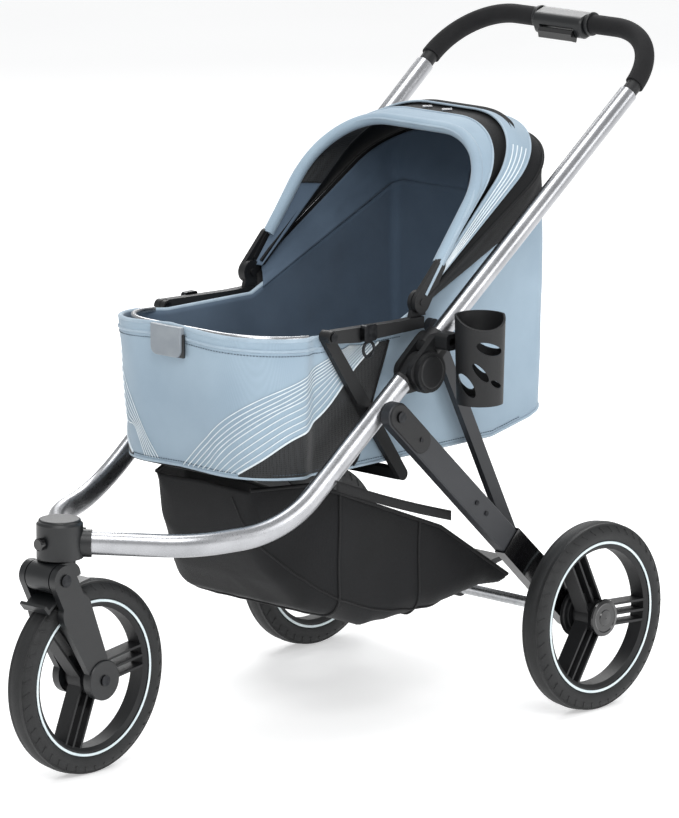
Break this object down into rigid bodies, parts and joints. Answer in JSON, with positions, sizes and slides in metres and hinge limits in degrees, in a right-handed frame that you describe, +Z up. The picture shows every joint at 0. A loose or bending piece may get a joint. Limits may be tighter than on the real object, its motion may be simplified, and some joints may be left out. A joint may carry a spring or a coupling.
{
  "type": "pet stroller",
  "caption": "Three-wheeled folding pet stroller with a fabric tub under a folding hood, a basket, a bent push handle, a cup holder and a swivelling sprung front wheel.",
  "frame": {"origin": "on the floor, under the middle of the overall box", "axes": "-Y is the way the stroller rolls, +Z is up, +X is the stroller's left side, which carries the cup holder"},
  "size_m": [0.6252, 1.171, 0.98],
  "materials": {
    "silver_tube": "satin anodised",
    "satin_black": "fine satin",
    "black_plastic": "fine grain",
    "gloss_black": "gloss",
    "grey_plastic": "matt",
    "charcoal_metal": "powder coat",
    "steel": "satin",
    "tyre": "moulded",
    "foam": "closed-cell foam",
    "fabric_blue": "plain weave",
    "fabric_slate": "soft pile",
    "fabric_black": "plain weave",
    "board": "matt"
  },
  "bodies": {
    "front_frame": {"lower_tube_left": "silver_tube", "lower_tube_right": "silver_tube", "front_housing": "satin_black", "hub_sockets": "black_plastic", "frame_bolts": "steel", "seat_frame": "black_plastic", "top_rails": "black_plastic", "rail_clips": "steel", "front_hoop": "steel", "canopy_brackets": "black_plastic", "tub_shell": "fabric_blue", "tub_floor_board": "board", "tub_mattress": "fabric_slate", "basket": "fabric_black", "basket_straps": "fabric_black", "canopy_back_skin": "fabric_blue", "swivel_bearings": "steel"},
    "push_frame": {"upper_tube_left": "silver_tube", "upper_tube_right": "silver_tube", "handle_core": "black_plastic", "handle_grips": "foam", "handle_rings": "foam", "control_housing": "satin_black", "hub_sleeves": "black_plastic", "hub_covers": "black_plastic", "cup_holder": "black_plastic", "cup_clip": "black_plastic"},
    "rear_legs": {"rear_leg_left": "charcoal_metal", "rear_leg_right": "charcoal_metal", "leg_top_caps": "black_plastic", "leg_covers": "gloss_black", "leg_screws": "steel", "brake_housings": "black_plastic", "rear_axle": "steel", "axle_pins": "steel", "link_bolts": "steel", "brake_bracket": "black_plastic"},
    "brace_links": {"brace_links": "charcoal_metal"},
    "left_wheel": {"left_wheel_tyre": "tyre", "left_wheel_rim": "black_plastic", "left_wheel_bearings": "steel", "left_wheel_cap": "gloss_black"},
    "right_wheel": {"right_wheel_tyre": "tyre", "right_wheel_rim": "black_plastic", "right_wheel_bearings": "steel", "right_wheel_cap": "gloss_black"},
    "brake_pedal": {"brake_pedal": "black_plastic"},
    "release_lever": {"release_lever": "gloss_black"},
    "canopy_mid": {"canopy_mid_bow": "black_plastic", "canopy_front_skin": "fabric_blue"},
    "canopy_front": {"canopy_front_bow": "black_plastic"},
    "fork_yoke": {"knuckle": "satin_black", "swivel_stem": "steel"},
    "fork": {"fork": "satin_black", "fork_bolts": "steel"},
    "front_wheel": {"front_wheel_tyre": "tyre", "front_wheel_rim": "black_plastic", "front_wheel_bearings": "steel"},
    "lock_knob": {"lock_knob": "gloss_black"},
    "front_latch": {"front_latch": "grey_plastic"}
  },
  "joints": [
    {"name": "frame_fold", "type": "hinge", "parent": "front_frame", "child": "push_frame", "pos_m": [0, 0.0365, 0.535], "axis": [-1, 0, 0], "range_deg": [0, 140], "deforming": ["basket_straps"]},
    {"name": "leg_fold", "type": "hinge", "parent": "front_frame", "child": "rear_legs", "pos_m": [0, -0.0385, 0.483], "axis": [-1, 0, 0], "range_deg": [0, 68], "deforming": ["basket_straps"]},
    {"name": "link_fold", "type": "hinge", "parent": "rear_legs", "child": "brace_links", "pos_m": [0, 0.2815, 0.205], "axis": [1, 0, 0], "range_deg": [0, 14]},
    {"name": "left_wheel_spin", "type": "hinge", "parent": "rear_legs", "child": "left_wheel", "pos_m": [0.285, 0.3115, 0.14], "axis": [1, 0, 0], "continuous": true},
    {"name": "right_wheel_spin", "type": "hinge", "parent": "rear_legs", "child": "right_wheel", "pos_m": [-0.285, 0.3115, 0.14], "axis": [1, 0, 0], "continuous": true},
    {"name": "brake_press", "type": "hinge", "parent": "rear_legs", "child": "brake_pedal", "pos_m": [0, 0.3355, 0.152], "axis": [-1, 0, 0], "range_deg": [0, 20]},
    {"name": "lever_squeeze", "type": "hinge", "parent": "push_frame", "child": "release_lever", "pos_m": [0, 0.5575, 0.95], "axis": [1, 0, 0], "range_deg": [0, 12], "stiffness_Nm_per_rad": 0.6, "springref_deg": -11.46},
    {"name": "canopy_open", "type": "hinge", "parent": "front_frame", "child": "canopy_mid", "pos_m": [0, 0.0605, 0.628], "axis": [1, 0, 0], "range_deg": [0, 36], "deforming": ["canopy_back_skin", "canopy_front_skin"]},
    {"name": "canopy_spread", "type": "hinge", "parent": "canopy_mid", "child": "canopy_front", "pos_m": [0, 0.0605, 0.628], "axis": [1, 0, 0], "range_deg": [0, 36], "deforming": ["canopy_back_skin", "canopy_front_skin"]},
    {"name": "fork_swivel", "type": "hinge", "parent": "front_frame", "child": "fork_yoke", "pos_m": [0, -0.4935, 0.32], "axis": [0, 0, 1], "continuous": true},
    {"name": "fork_suspension", "type": "hinge", "parent": "fork_yoke", "child": "fork", "pos_m": [0, -0.5175, 0.296], "axis": [1, 0, 0], "range_deg": [0, 8], "stiffness_Nm_per_rad": 20, "springref_deg": -17.19},
    {"name": "front_wheel_spin", "type": "hinge", "parent": "fork", "child": "front_wheel", "pos_m": [0, -0.4455, 0.14], "axis": [1, 0, 0], "continuous": true},
    {"name": "knob_pull", "type": "slide", "parent": "front_frame", "child": "lock_knob", "axis": [0, -1, 0], "range_m": [0, 0.006], "stiffness_N_per_m": 300, "springref_m": -0.004},
    {"name": "latch_lift", "type": "hinge", "parent": "front_frame", "child": "front_latch", "pos_m": [0, -0.2775, 0.62], "axis": [-1, 0, 0], "range_deg": [0, 20], "stiffness_Nm_per_rad": 0.4, "springref_deg": -8.59}
  ],
  "couplings": [
    {"joint": "leg_fold", "follows": "frame_fold", "ratio": 0.474},
    {"joint": "link_fold", "follows": "frame_fold", "ratio": 0.092},
    {"joint": "canopy_spread", "follows": "canopy_open", "ratio": 1}
  ]
}
